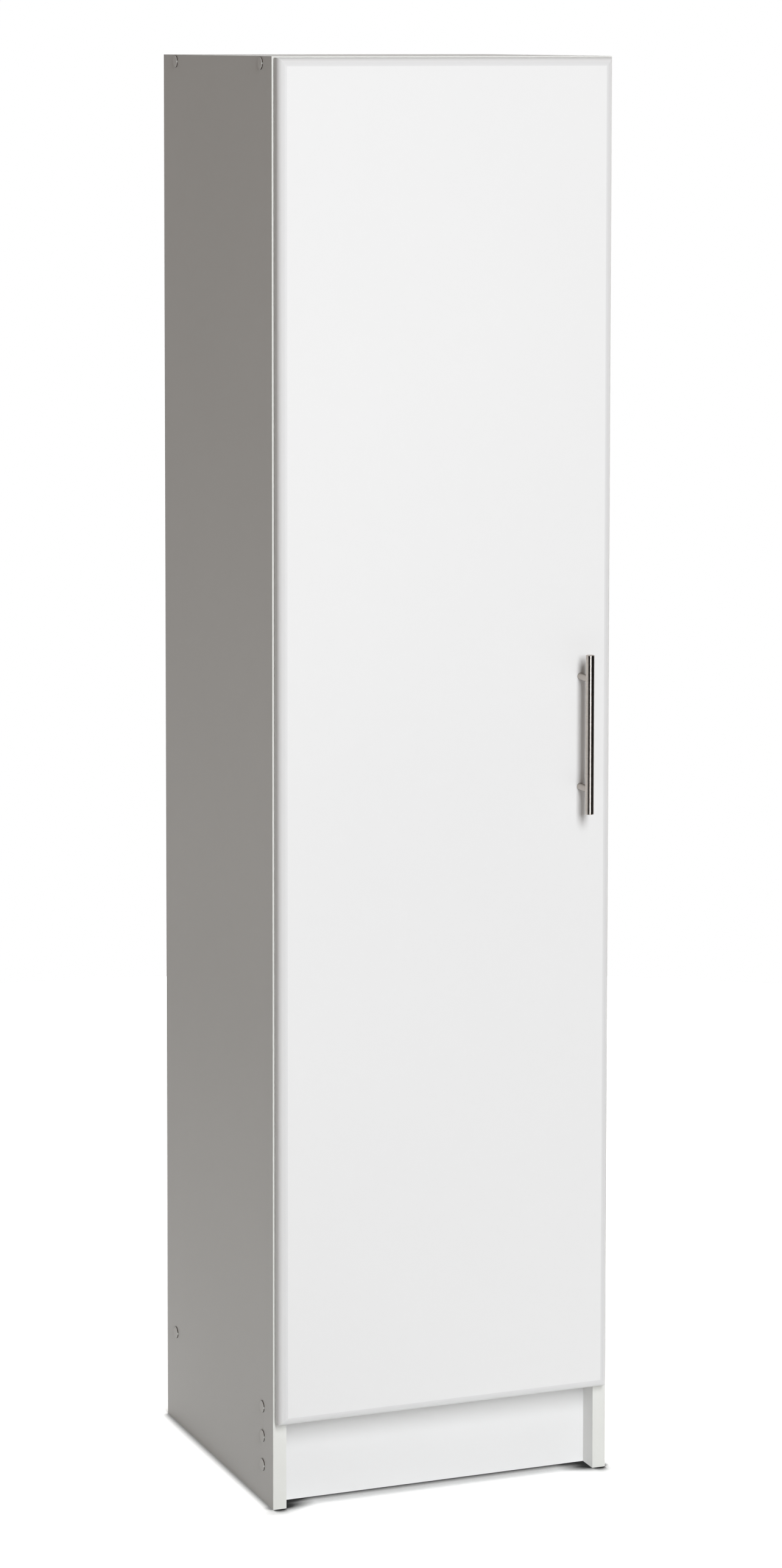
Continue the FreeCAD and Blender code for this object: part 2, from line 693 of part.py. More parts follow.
def rail_cam_bolts():
    shank = rod("cam_bolt_diameter", BOLT_LENGTH, ("0", "0", "(-cam_bolt_sunk_length)"))
    head = rod("cam_bolt_head_diameter", "cam_bolt_head_length",
               ("0", "0", "(cam_end_distance - cam_bolt_head_length)"))
    bolt = fuse([shank, head])
    sites = (((INNER_LEFT, RAIL_JOINT_Y, RAIL_JOINTS_Z[1]), ALONG_X),
             ((INNER_RIGHT, RAIL_JOINT_Y, RAIL_JOINTS_Z[1]), AGAINST_X))
    return group("rail_cam_bolts", [copy_of(bolt, at, turn) for at, turn in sites])


def rail_dowels():
    dowels = [rod("dowel_diameter", "dowel_length",
                  (start, RAIL_JOINT_Y, RAIL_JOINTS_Z[0]), ALONG_X)
              for start in (f"({INNER_LEFT} - dowel_sunk_length)",
                            f"({INNER_RIGHT} + dowel_sunk_length - dowel_length)")]
    return group("rail_dowels", dowels)


# ---------------------------------------------------------------- door and handle

HINGE_HEIGHTS = ("(door_foot_height + hinge_end_distance)",
                 f"(door_foot_height + {DOOR_HEIGHT} / 2)",
                 f"(door_foot_height + {DOOR_HEIGHT} - hinge_end_distance)")
HANDLE_HOLES_Z = ("(handle_centre_height - handle_hole_spacing / 2)",
                  "(handle_centre_height + handle_hole_spacing / 2)")
CUP_X = f"({DOOR_LEFT} + cup_centre_distance)"


def plate_screw_heights(hinge_z):
    return (f"({hinge_z} - plate_screw_spacing / 2)", f"({hinge_z} + plate_screw_spacing / 2)")


def cup_screw_heights(hinge_z):
    return (f"({hinge_z} - cup_screw_spacing / 2)", f"({hinge_z} + cup_screw_spacing / 2)")


def door_panel():
    """A slab door whose four front edges are rounded over."""
    door = board("door_panel", (DOOR_WIDTH, "door_thickness", DOOR_HEIGHT),
                 (DOOR_LEFT, DOOR_FRONT, "door_foot_height"))
    doc.recompute()
    block = door.Tip
    front_edges = [f"Edge{index}" for index, edge in enumerate(block.Shape.Edges, start=1)
                   if all(abs(vertex.Point.y) < TINY for vertex in edge.Vertexes)]
    rounding = door.newObject("PartDesign::Fillet", "roundover")
    rounding.Base = (block, front_edges)
    bind(rounding, {"Radius": "door_edge_radius"})
    door.Tip = rounding

    cup_z = [f"({z} - door_foot_height)" for z in HINGE_HEIGHTS]
    drill(door, "XZ_Plane", "(-door_thickness)", True,
          [("cup_centre_distance", z) for z in cup_z],
          "(cup_diameter + 2 * cup_bore_clearance)", "(cup_depth + cup_bore_clearance)")
    screws = [("(cup_centre_distance + cup_screw_inset)", f"({z} - door_foot_height)")
              for hinge_z in HINGE_HEIGHTS for z in cup_screw_heights(hinge_z)]
    drill(door, "XZ_Plane", "(-door_thickness)", True, screws,
          "(cup_screw_diameter + 2 * fastener_clearance)", "cup_screw_length")
    handle_holes = [(f"({DOOR_WIDTH} - handle_edge_distance)", f"({z} - door_foot_height)")
                    for z in HANDLE_HOLES_Z]
    drill(door, "XZ_Plane", "(-door_thickness)", True, handle_holes,
          "(handle_screw_diameter + 2 * fastener_clearance)", "door_thickness")
    return door


def eased(base, radius):
    """Round off every closed edge of an object."""
    rounded = doc.addObject("Part::Fillet", "eased")
    rounded.Base = base
    doc.recompute()
    rounded.Edges = [(index, size(radius), size(radius))
                     for index, edge in enumerate(base.Shape.Edges, start=1) if edge.Closed]
    return rounded


def handle():
    """A round bar on two posts, with the screws that hold it through the door."""
    grip = eased(rod("handle_bar_diameter", "handle_length",
                     (HANDLE_X, HANDLE_Y, "(handle_centre_height - handle_length / 2)")),
                 "handle_end_radius")
    piece(grip, "handle_bar")

    posts = []
    for z in HANDLE_HOLES_Z:
        solid = rod("handle_post_diameter", f"({DOOR_FRONT} - {HANDLE_Y})",
                    (HANDLE_X, DOOR_FRONT, z), AGAINST_Y)
        saddle = rod("handle_bar_diameter", "(2 * handle_post_diameter)",
                     (HANDLE_X, HANDLE_Y, f"({z} - handle_post_diameter)"))
        thread = rod("(handle_screw_diameter + 2 * running_clearance)",
                     "(handle_screw_grip + 4 * fastener_clearance)",
                     (HANDLE_X, DOOR_FRONT, z), AGAINST_Y)
        posts.append(cut(cut(solid, saddle), thread))
    group("handle_posts", posts)

    shank = rod("handle_screw_diameter", "(door_thickness + handle_screw_grip)",
                ("0", "0", "0"))
    head = rod("handle_screw_head_diameter", "handle_screw_head_height",
               ("0", "0", "(-handle_screw_head_height)"))
    slots = [box(extent, at) for extent, at in
             ((("handle_screw_slot_length", "handle_screw_slot_width", "handle_screw_slot_depth"),
               ("(-handle_screw_slot_length / 2)", "(-handle_screw_slot_width / 2)",
                "(-handle_screw_head_height)")),
              (("handle_screw_slot_width", "handle_screw_slot_length", "handle_screw_slot_depth"),
               ("(-handle_screw_slot_width / 2)", "(-handle_screw_slot_length / 2)",
                "(-handle_screw_head_height)")))]
    screw = cut(fuse([shank, head]), fuse(slots))
    group("handle_screws", [copy_of(screw, (HANDLE_X, DOOR_REAR, z), AGAINST_Y)
                            for z in HANDLE_HOLES_Z])


def door_bumpers():
    """Soft pads on the back of the door, over the right side's front edge."""
    x = f"(({INNER_RIGHT} + {DOOR_RIGHT}) / 2)"
    heights = ("(door_foot_height + bumper_end_distance)",
               f"(door_foot_height + {DOOR_HEIGHT} - bumper_end_distance)")
    return group("door_bumpers", [rod("bumper_diameter", "(door_gap - bumper_clearance)",
                                      (x, DOOR_REAR, z), ALONG_Y) for z in heights])


# ---------------------------------------------------------------- hinges

HINGE_NAMES = ("bottom", "middle", "top")
PLATE_Y = f"({FRONT} + plate_screw_distance)"
CHEEK_HEIGHT = "(long_link_outer_height / 2 + arm_cheek_clearance)"
ARM_HEIGHT = f"(2 * ({CHEEK_HEIGHT} + arm_wall))"
PIN_BORE = "(link_pin_diameter / 2 + running_clearance)"


def arm_pivot(link):
    """Plan place of a link's pivot on the hinge arm."""
    return (number(f"({INNER_LEFT} + {link}_link_arm_inset)"),
            number(f"({FRONT} + {link}_link_arm_setback)"))


def door_place(inset, depth):
    """Plan place measured from the door's hinged rear edge."""
    return number(f"({DOOR_LEFT} + {inset})"), number(f"({DOOR_REAR} - {depth})")


def cup_pivot(link):
    return door_place(f"{link}_link_cup_inset", f"{link}_link_cup_depth")


def disc(centre, radius, low, high):
    return Part.makeCylinder(radius, high - low, FreeCAD.Vector(*centre, low))


def bar(start, end, half_width, low, high):
    """A flat bar with square ends between two plan points."""
    run = FreeCAD.Vector(*end, 0) - FreeCAD.Vector(*start, 0)
    block = Part.makeBox(run.Length, 2 * half_width, high - low,
                         FreeCAD.Vector(0, -half_width, 0))
    angle = math.degrees(math.atan2(run.y, run.x))
    turn = FreeCAD.Rotation(FreeCAD.Vector(0, 0, 1), angle)
    block.Placement = FreeCAD.Placement(FreeCAD.Vector(*start, low), turn)
    return block


def strap(points, half_width, low, high):
    """A bent flat bar of constant width with rounded bends."""
    solids = [bar(a, b, half_width, low, high) for a, b in zip(points, points[1:])]
    solids += [disc(point, half_width, low, high) for point in points]
    return solids[0].fuse(solids[1:]).removeSplitter()


def link_layer(link, low, high, cup_play):
    """One stamped layer of a link: a bent strap with an eye at each end."""
    ends = (arm_pivot(link), cup_pivot(link))
    path = [ends[0]] + [door_place(f"{link}_link_{bend}_inset", f"{link}_link_{bend}_depth")
                        for bend in ("knee", "bend")] + [ends[1]]
    bores = (number(PIN_BORE), number(PIN_BORE) + cup_play)
    layer = strap(path, size("link_half_width"), low, high)
    for centre, bore in zip(ends, bores):
        layer = layer.fuse(disc(centre, bore + size("link_eye_wall"), low, high))
    for centre, bore in zip(ends, bores):
        layer = layer.cut(disc(centre, bore, low, high))
    return layer.removeSplitter()


def solid_piece(label, shapes):
    """A sub-part whose shape is worked out from the sheet."""
    feature = doc.addObject("Part::Feature", label)
    feature.Shape = shapes[0] if len(shapes) == 1 else Part.makeCompound(shapes)
    return piece(feature, label)


def hinge_links():
    """Per hinge a long link, two stamped layers, round a short link in the middle."""
    outer = size("long_link_outer_height") / 2
    inner = size("long_link_inner_height") / 2
    short = size("short_link_height") / 2
    for name, height in zip(HINGE_NAMES, HINGE_HEIGHTS):
        z = number(height)
        solid_piece(f"hinge_long_link_{name}",
                    [link_layer("long", z - outer, z - inner, 0),
                     link_layer("long", z + inner, z + outer, 0)])
        solid_piece(f"hinge_short_link_{name}",
                    [link_layer("short", z - short, z + short, size("link_slot_play"))])


def hinge_arm(z):
    """A channel: two cheeks with the pivots in their nose, joined by a back."""
    nose = size("arm_nose_radius")
    panel_face = number(INNER_LEFT)
    front = number(FRONT)
    foot_x = panel_face + size("plate_thickness") + size("running_clearance") + nose
    back_x = panel_face + size("plate_thickness") + size("arm_back_rise")
    rear_y = front + size("arm_rear_distance") - nose
    neck_y = front + size("arm_neck_distance")
    shoulder_y = front + size("arm_shoulder_distance")
    outline = [arm_pivot("short"), arm_pivot("long"), (back_x, shoulder_y), (back_x, rear_y),
               (foot_x, rear_y), (foot_x, neck_y)]
    outline_wire = Part.makePolygon([FreeCAD.Vector(*at, 0) for at in outline + outline[:1]])
    plan = Part.Face(outline_wire).makeOffset2D(nose)
    inside = number(CHEEK_HEIGHT)
    wall = size("arm_wall")
    cheeks = []
    for low in (z - inside - wall, z + inside):
        flat = plan.copy()
        flat.translate(FreeCAD.Vector(0, 0, low))
        cheeks.append(flat.extrude(FreeCAD.Vector(0, 0, wall)))
    back_line = back_x + nose - wall / 2
    back = bar((back_line, shoulder_y), (back_line, rear_y), wall / 2,
               z - inside - wall, z + inside + wall)
    arm = cheeks[0].fuse([cheeks[1], back])
    for link in ("long", "short"):
        arm = arm.cut(disc(arm_pivot(link), number(PIN_BORE), z - inside - 2 * wall,
                           z + inside + 2 * wall))
    screw_bore = size("arm_screw_diameter") / 2 + size("fastener_clearance")
    for distance in ("arm_screw_front_distance", "arm_screw_rear_distance"):
        centre = FreeCAD.Vector(back_x, front + size(distance), z)
        arm = arm.cut(Part.makeCylinder(screw_bore, 2 * nose, centre, FreeCAD.Vector(1, 0, 0)))
    return arm.removeSplitter()


BACK_FACE = "(plate_thickness + arm_back_rise + arm_nose_radius)"
ARM_SCREW_REACH = f"({INNER_LEFT} + {BACK_FACE})"


def hinge_arms():
    solid_piece("hinge_arms", [hinge_arm(number(z)) for z in HINGE_HEIGHTS])


def hinge_arm_pins():
    """Pins through the arm's cheeks that the two links turn on."""
    pins = []
    for z in HINGE_HEIGHTS:
        for link in ("long", "short"):
            x = f"({INNER_LEFT} + {link}_link_arm_inset)"
            y = f"({FRONT} + {link}_link_arm_setback)"
            pins.append(rod("link_pin_diameter", ARM_HEIGHT,
                            (x, y, f"({z} - {ARM_HEIGHT} / 2)")))
    return group("hinge_arm_pins", pins)


def mounting_plates():
    """Plates on the side panel: two screwed wings and a spine that carries the arm."""
    plates = []
    wing_y = f"({PLATE_Y} - plate_wing_width / 2)"
    spine_y = f"({FRONT} + arm_rear_distance - plate_spine_length)"
    spine_rise = "(arm_back_rise + arm_nose_radius - arm_wall)"
    for z in HINGE_HEIGHTS:
        wing = box(("plate_thickness", "plate_wing_width", "plate_wing_height"),
                   (INNER_LEFT, wing_y, f"({z} - plate_wing_height / 2)"))
        spine = box((f"({spine_rise} + plate_thickness)", "plate_spine_length",
                     "plate_spine_height"),
                    (INNER_LEFT, spine_y, f"({z} - plate_spine_height / 2)"))
        holes = [rod("(plate_screw_diameter + 2 * fastener_clearance)",
                     "(2 * plate_thickness)",
                     (f"({INNER_LEFT} - plate_thickness / 2)", PLATE_Y, screw_z), ALONG_X)
                 for screw_z in plate_screw_heights(z)]
        holes += [rod("(arm_screw_diameter + 2 * fastener_clearance)",
                      "(arm_screw_depth + arm_wall)",
                      (f"({ARM_SCREW_REACH} - arm_wall - arm_screw_depth - fastener_clearance)",
                       f"({FRONT} + {distance})", z), ALONG_X)
                  for distance in ("arm_screw_front_distance", "arm_screw_rear_distance")]
        plates.append(cut(fuse([wing, spine]), fuse(holes)))
    return group("hinge_mounting_plates", plates)


def screw(shank, length, head, head_height, slot_share=0.6):
    """A screw along +Z from under its head, with a plain slot across the head."""
    body = rod(shank, length, ("0", "0", "0"))
    cap = rod(head, head_height, ("0", "0", f"(-{head_height})"))
    slot = box((f"({head} * {slot_share})", f"({head_height} / 2)", f"({head_height} / 2)"),
               (f"(-{head} * {slot_share} / 2)", f"(-{head_height} / 4)", f"(-{head_height})"))
    return cut(fuse([body, cap]), slot)


def hinge_screws():
    plate_screw = screw("plate_screw_diameter", "(plate_screw_length + plate_thickness)",
                        "plate_screw_head_diameter", "plate_screw_head_height")
    head_x = f"({INNER_LEFT} + plate_thickness)"
    group("hinge_plate_screws", [copy_of(plate_screw, (head_x, PLATE_Y, screw_z), AGAINST_X)
                                 for z in HINGE_HEIGHTS for screw_z in plate_screw_heights(z)])
    arm_screw = screw("arm_screw_diameter", "(arm_screw_depth + arm_wall)",
                      "arm_screw_head_diameter", "arm_screw_head_height")
    group("hinge_arm_screws",
          [copy_of(arm_screw, (ARM_SCREW_REACH, f"({FRONT} + {distance})", z), AGAINST_X)
           for z in HINGE_HEIGHTS
           for distance in ("arm_screw_front_distance", "arm_screw_rear_distance")])
    cup_screw = screw("cup_screw_diameter",
                      "(cup_flange_thickness + cup_screw_length - 2 * fastener_clearance)",
                      "cup_screw_head_diameter", "cup_screw_head_height")
    screw_x = f"({CUP_X} + cup_screw_inset)"
    face_y = f"({DOOR_REAR} + cup_flange_thickness)"
    group("hinge_cup_screws", [copy_of(cup_screw, (screw_x, face_y, screw_z), AGAINST_Y)
                               for z in HINGE_HEIGHTS for screw_z in cup_screw_heights(z)])


def hinge_cups():
    """Pressed cups in the door, each with a rim and two screwed wings."""
    wing_height = "(cup_screw_spacing + 2 * cup_wing_overhang)"
    cavity_diameter = "(cup_diameter - 2 * cup_wall)"
    cups = []
    for z in HINGE_HEIGHTS:
        shell = rod("cup_diameter", "cup_depth", (CUP_X, DOOR_REAR, z), AGAINST_Y)
        rim = rod("(cup_diameter + 2 * cup_flange_rim)", "cup_flange_thickness",
                  (CUP_X, DOOR_REAR, z), ALONG_Y)
        wings = box(("cup_wing_width", "cup_flange_thickness", wing_height),
                    (f"({CUP_X} + cup_screw_inset - cup_wing_width / 2)", DOOR_REAR,
                     f"({z} - {wing_height} / 2)"))
        cavity = rod(cavity_diameter, "(cup_depth - cup_wall + 2 * cup_flange_thickness)",
                     (CUP_X, f"({DOOR_REAR} + 2 * cup_flange_thickness)", z), AGAINST_Y)
        holes = [rod("(cup_screw_diameter + 2 * fastener_clearance)",
                     "(2 * cup_flange_thickness)",
                     (f"({CUP_X} + cup_screw_inset)",
                      f"({DOOR_REAR} - cup_flange_thickness / 2)", screw_z), ALONG_Y)
                 for screw_z in cup_screw_heights(z)]
        cups.append(cut(fuse([shell, rim, wings]), fuse([cavity] + holes)))
    return group("hinge_cups", cups)


def hinge_cup_pins():
    """Pins across each cup: a pair of stubs for the long link, one through pin for the short."""
    radius = size("link_pin_diameter") / 2
    cavity = size("cup_diameter") / 2 - size("cup_wall")
    centre_x = number(CUP_X)
    gap = size("fastener_clearance")

    def reach(x):
        """Half the cavity's height where a pin stands, to the pin's outer side."""
        return math.sqrt(cavity ** 2 - (abs(x - centre_x) + radius) ** 2) - gap

    pins = []
    for height in HINGE_HEIGHTS:
        z = number(height)
        long_pivot, short_pivot = cup_pivot("long"), cup_pivot("short")
        stub_start = size("short_link_height") / 2 + gap
        long_reach, short_reach = reach(long_pivot[0]), reach(short_pivot[0])
        pins.append(disc(long_pivot, radius, z - long_reach, z - stub_start))
        pins.append(disc(long_pivot, radius, z + stub_start, z + long_reach))
        pins.append(disc(short_pivot, radius, z - short_reach, z + short_reach))
    return solid_piece("hinge_cup_pins", pins)


# ---------------------------------------------------------------- build, check and write

def build():
    side_panel("side_panel_left", True)
    side_panel("side_panel_right", False)
    cross_panel("top_panel", TOP_UNDERSIDE)
    cross_panel("bottom_panel", "kick_height")
    kick_plate()
    back_panel()
    back_nails()
    edge_bands()
    carcass_screws()
    screw_cover_caps()
    upper_shelf()
    shelf_pins()
    hanging_rail()
    rail_cams()
    rail_cam_bolts()
    rail_dowels()
    door_panel()
    handle()
    door_bumpers()
    mounting_plates()
    hinge_arms()
    hinge_arm_pins()
    hinge_links()
    hinge_cups()
    hinge_cup_pins()
    hinge_screws()


def check_features():
    """Every object is up to date and every cut has removed material."""
    for thing in doc.Objects:
        if "Invalid" in thing.State or "Error" in thing.State:
            raise RuntimeError(f"{thing.Name} failed: {thing.State}")
        if thing.TypeId == "PartDesign::Pocket":
            before = thing.BaseFeature.Shape.Volume
            if thing.Shape.Volume > before - TINY:
                raise RuntimeError(f"{thing.Name} cuts nothing")


def write_pieces():
    os.makedirs("parts", exist_ok=True)
    for thing in pieces:
        shape = thing.Shape
        if shape.isNull() or not shape.isValid():
            raise RuntimeError(f"{thing.Label} has no valid shape")
        shape.exportStep(f"parts/{thing.Label}.step")
        print(f"{thing.Label}: {len(shape.Solids)} solids, {shape.Volume:.0f} mm3")


build()
doc.recompute()
check_features()
write_pieces()
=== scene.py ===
import math

import bpy
from mathutils import Matrix, Vector


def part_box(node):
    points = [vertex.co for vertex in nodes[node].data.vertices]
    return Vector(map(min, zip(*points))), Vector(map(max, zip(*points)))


# The broom cupboard's looks: materials on the CAD nodes, in a white studio, seen as in the photo.
# It adds no piece of its own. Lengths are in metres.

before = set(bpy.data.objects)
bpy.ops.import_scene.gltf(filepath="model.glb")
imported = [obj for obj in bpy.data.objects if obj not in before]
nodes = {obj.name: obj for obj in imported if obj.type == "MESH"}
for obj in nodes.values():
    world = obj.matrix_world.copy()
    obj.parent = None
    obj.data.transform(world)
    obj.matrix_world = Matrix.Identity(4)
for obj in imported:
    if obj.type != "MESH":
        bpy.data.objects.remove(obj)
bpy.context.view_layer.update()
MM = 0.001
X_AXIS, Y_AXIS, Z_AXIS = 0, 1, 2

# ---------------------------------------------------------------- camera

CAMERA_PLACE = Vector((-1.8614, -4.6892, 1.6791))
CAMERA_YAW = math.radians(21.6484)      # to the right of +Y
CAMERA_PITCH = math.radians(4.5995)     # downwards
CAMERA_ROLL = math.radians(0.0643)
SENSOR_WIDTH_MM = 36
FOCAL_LENGTH_MM = 99.553
CAMERA_SHIFT_Y = -0.2578


def make_camera():
    data = bpy.data.cameras.new("camera")
    data.sensor_width = SENSOR_WIDTH_MM
    data.lens = FOCAL_LENGTH_MM
    data.shift_y = CAMERA_SHIFT_Y
    camera = bpy.data.objects.new("camera", data)
    bpy.context.scene.collection.objects.link(camera)
    bpy.context.scene.camera = camera
    turn = (Matrix.Rotation(-CAMERA_YAW, 4, "Z")
            @ Matrix.Rotation(math.pi / 2 - CAMERA_PITCH, 4, "X")
            @ Matrix.Rotation(CAMERA_ROLL, 4, "Z"))
    camera.matrix_world = Matrix.Translation(CAMERA_PLACE) @ turn


# ---------------------------------------------------------------- node helpers

NOISE_LOW, NOISE_HIGH = 0.3, 0.7                            # most of a noise lies between these
MIX_SOCKETS = {"RGBA": (6, 7, 2), "VECTOR": (4, 5, 1)}      # a mix node's inputs and its output


class Shader:
    """A material under construction: short calls to add nodes and join them."""

    def __init__(self, name):
        self.material = bpy.data.materials.new(name)
        self.material.use_nodes = True
        self.tree = self.material.node_tree
        self.surface = self.tree.nodes["Principled BSDF"]
        self.output = self.tree.nodes["Material Output"]

    def node(self, kind, inputs=None, **settings):
        made = self.tree.nodes.new(kind)
        for key, value in settings.items():
            setattr(made, key, value)
        for key, value in (inputs or {}).items():
            self.put(made.inputs[key], value)
        return made

    def put(self, socket, value):
        """Set a socket to a constant, or join it to another node's output."""
        if isinstance(value, bpy.types.NodeSocket):
            self.tree.links.new(value, socket)
        else:
            socket.default_value = value

    def set(self, **inputs):
        """Inputs of the surface shader, with underscores for the spaces in their names."""
        for key, value in inputs.items():
            self.put(self.surface.inputs[key.replace("_", " ")], value)

    def math(self, operation, *values):
        made = self.node("ShaderNodeMath", operation=operation)
        for socket, value in zip(made.inputs, values):
            self.put(socket, value)
        return made.outputs[0]

    def place(self, stretch=(1, 1, 1)):
        """The point on the piece, in metres, stretched along its axes."""
        point = self.node("ShaderNodeTexCoord").outputs["Object"]
        return self.node("ShaderNodeMapping", {"Vector": point, "Scale": stretch}).outputs[0]

    def axes(self, output):
        """The three parts of the point or the normal, in the piece's own frame."""
        source = self.node("ShaderNodeTexCoord").outputs[output]
        return self.node("ShaderNodeSeparateXYZ", {0: source}).outputs

    def noise(self, scale, detail=2.0, stretch=(1, 1, 1)):
        """Soft spots: a scale of 1000 makes them about a millimetre wide."""
        return self.node("ShaderNodeTexNoise", {"Vector": self.place(stretch), "Scale": scale,
                                                "Detail": detail}).outputs["Fac"]

    def ramp(self, value, start, end, at_start=0.0, at_end=1.0, **settings):
        """A value that runs from at_start to at_end as another runs from start to end."""
        made = self.node("ShaderNodeMapRange", {"Value": value, "From Min": start,
                                                "From Max": end, "To Min": at_start,
                                                "To Max": at_end}, **settings)
        return made.outputs[0]

    def spread(self, noise, low=0.0, high=1.0):
        """A noise stretched to run from low to high."""
        return self.ramp(noise, NOISE_LOW, NOISE_HIGH, low, high)

    def uneven(self, low, high, scale, detail=2.0):
        """A value that wanders between two others over the surface."""
        return self.spread(self.noise(scale, detail), low, high)

    def mix(self, factor, first, second, data_type="RGBA"):
        """A colour, or a vector, between two others."""
        first_input, second_input, output = MIX_SOCKETS[data_type]
        made = self.node("ShaderNodeMix", {"Factor": factor}, data_type=data_type)
        self.put(made.inputs[first_input], first)
        self.put(made.inputs[second_input], second)
        return made.outputs[output]

    def mottled(self, dark, light, scale, detail=2.0, stretch=(1, 1, 1)):
        """A colour that wanders between two others over the surface."""
        return self.mix(self.spread(self.noise(scale, detail, stretch)), dark, light)

    def shares(self, first, first_share, second):
        """The sum of two values, each times its share of 1."""
        return self.math("ADD", self.math("MULTIPLY", first, first_share),
                         self.math("MULTIPLY", second, 1.0 - first_share))

    def bump(self, height, distance, strength, normal=None):
        made = self.node("ShaderNodeBump", {"Height": height, "Distance": distance,
                                            "Strength": strength})
        if normal is not None:
            self.put(made.inputs["Normal"], normal)
        return made.outputs[0]


def rgb(red, green, blue):
    return (red, green, blue, 1.0)


# ---------------------------------------------------------------- boards

LAMINATE = rgb(0.80, 0.80, 0.79)
LAMINATE_RAILS = rgb(0.83, 0.83, 0.835)
CLOUD_SHADE = 0.975                     # how dark the laminate's clouds are, as a share
CHIPS_DARK, CHIPS_LIGHT = rgb(0.25, 0.155, 0.075), rgb(0.56, 0.41, 0.245)
CHIPS_ROUGHNESS = 0.92
FLAKE_STRETCH = (1, 1, 1.6)
FLAKE_SCALE = 520.0
FLAKE_SHARE = 0.7                       # of the chips' colour; the rest is a finer noise
ON_AN_EDGE = 0.6                        # a surface that faces across the board less is an edge
FACED_TOP = 0.5 * MM                    # depth of the white facing on the side panels' top edges

FOIL_DARK, FOIL_LIGHT = rgb(0.825, 0.825, 0.832), rgb(0.84, 0.84, 0.845)
# painted shade on the foil where it starts to bend round the door's edges
FOIL_BEND_SHADE = rgb(0.76, 0.76, 0.768)
BEND_BEGINS = (0.9992, 0.996)           # how squarely the foil faces the front where its painted shade sets in
BEND_ENDS = (0.80, 0.93)                # and where that painted shade ends

BAND_DARK, BAND_LIGHT = rgb(0.765, 0.77, 0.745), rgb(0.78, 0.785, 0.76)

FIBRE_DARK, FIBRE_LIGHT = rgb(0.19, 0.105, 0.052), rgb(0.36, 0.225, 0.125)
FIBRE_ROUGHNESS, FACED_ROUGHNESS = 0.86, 0.44
FIBRE_SHARE = 0.6                       # of the hardboard's colour; the rest is a wide cloud
TOWARDS_BAYS = -0.5                     # a surface whose normal's Y is below this is white-faced


def chips(shader):
    """Colour and height of raw particleboard: pressed flakes of wood in many browns."""
    flake = shader.node("ShaderNodeTexVoronoi", {"Vector": shader.place(FLAKE_STRETCH),
                                                 "Scale": FLAKE_SCALE, "Randomness": 1.0})
    shade = shader.node("ShaderNodeSeparateColor", {0: flake.outputs["Color"]}).outputs[0]
    fine = shader.noise(2600.0, detail=3.0)
    colour = shader.mix(shader.shares(shade, FLAKE_SHARE, fine), CHIPS_DARK, CHIPS_LIGHT)
    return colour, shader.math("ADD", flake.outputs["Distance"], fine)


def laminate(name, colour, across, white_above=None):
    """Satin melamine with a faint pearl on a board's faces, and raw particleboard on its edges.

    The axis across is the board's thin direction. Edges higher than white_above are faced too.
    """
    shader = Shader(name)
    darker = rgb(*(part * CLOUD_SHADE for part in colour[:3]))
    face = shader.mottled(darker, colour, scale=2.2, detail=3.0)
    gloss = shader.uneven(0.36, 0.44, scale=420.0, detail=3.0)
    pearl = shader.bump(shader.noise(950.0), 0.02 * MM, 0.5)
    squarely = shader.math("ABSOLUTE", shader.axes("Normal")[across])
    raw = shader.math("LESS_THAN", squarely, ON_AN_EDGE)
    if white_above is not None:
        height = shader.axes("Object")[Z_AXIS]
        raw = shader.math("MULTIPLY", raw, shader.math("LESS_THAN", height, white_above))
    core, relief = chips(shader)
    rough = shader.bump(relief, 0.25 * MM, 0.8)
    dull = shader.math("MULTIPLY", raw, CHIPS_ROUGHNESS)
    shader.set(Base_Color=shader.mix(raw, face, core),
               Roughness=shader.math("MAXIMUM", gloss, dull),
               Normal=shader.mix(raw, pearl, rough, data_type="VECTOR"),
               IOR=1.48, Specular_IOR_Level=0.07)
    return shader.material


def door_foil():
    """White foil, with a painted shade where it starts to bend round the door's edges."""
    shader = Shader("door_foil")
    flat = shader.mottled(FOIL_DARK, FOIL_LIGHT, scale=1.8)
    squarely = shader.math("ABSOLUTE", shader.axes("Normal")[Y_AXIS])
    begun = shader.ramp(squarely, *BEND_BEGINS)
    not_ended = shader.ramp(squarely, *BEND_ENDS)
    # painted shade on the bend of the door's edges
    shader.set(Base_Color=shader.mix(shader.math("MULTIPLY", begun, not_ended), flat, FOIL_BEND_SHADE),
               Roughness=shader.uneven(0.40, 0.48, scale=500.0),
               Normal=shader.bump(shader.noise(260.0), 0.015 * MM, 0.6),
               IOR=1.5, Specular_IOR_Level=0.22)
    return shader.material


def band_plastic():
    """Edge band: white plastic with a fine skin."""
    shader = Shader("edge_band")
    shader.set(Base_Color=shader.mottled(BAND_DARK, BAND_LIGHT, scale=30.0),
               Roughness=shader.uneven(0.40, 0.50, scale=600.0),
               Normal=shader.bump(shader.noise(1400.0), 0.02 * MM, 0.5), IOR=1.48)
    return shader.material


def hardboard():
    """White-faced towards the bays, bare brown fibre outside and on its edges."""
    shader = Shader("hardboard")
    fibre = shader.noise(700.0, detail=4.0, stretch=(1, 1, 0.35))
    cloud = shader.uneven(0.0, 1.0, scale=14.0, detail=3.0)
    tone = shader.shares(shader.spread(fibre), FIBRE_SHARE, cloud)
    brown = shader.mix(tone, FIBRE_DARK, FIBRE_LIGHT)
    faced = shader.math("LESS_THAN", shader.axes("Normal")[Y_AXIS], TOWARDS_BAYS)
    shader.set(Base_Color=shader.mix(faced, brown, LAMINATE),
               Roughness=shader.ramp(faced, 0.0, 1.0, FIBRE_ROUGHNESS, FACED_ROUGHNESS),
               Normal=shader.bump(fibre, 0.08 * MM, 0.6))
    return shader.material


# ---------------------------------------------------------------- small pieces

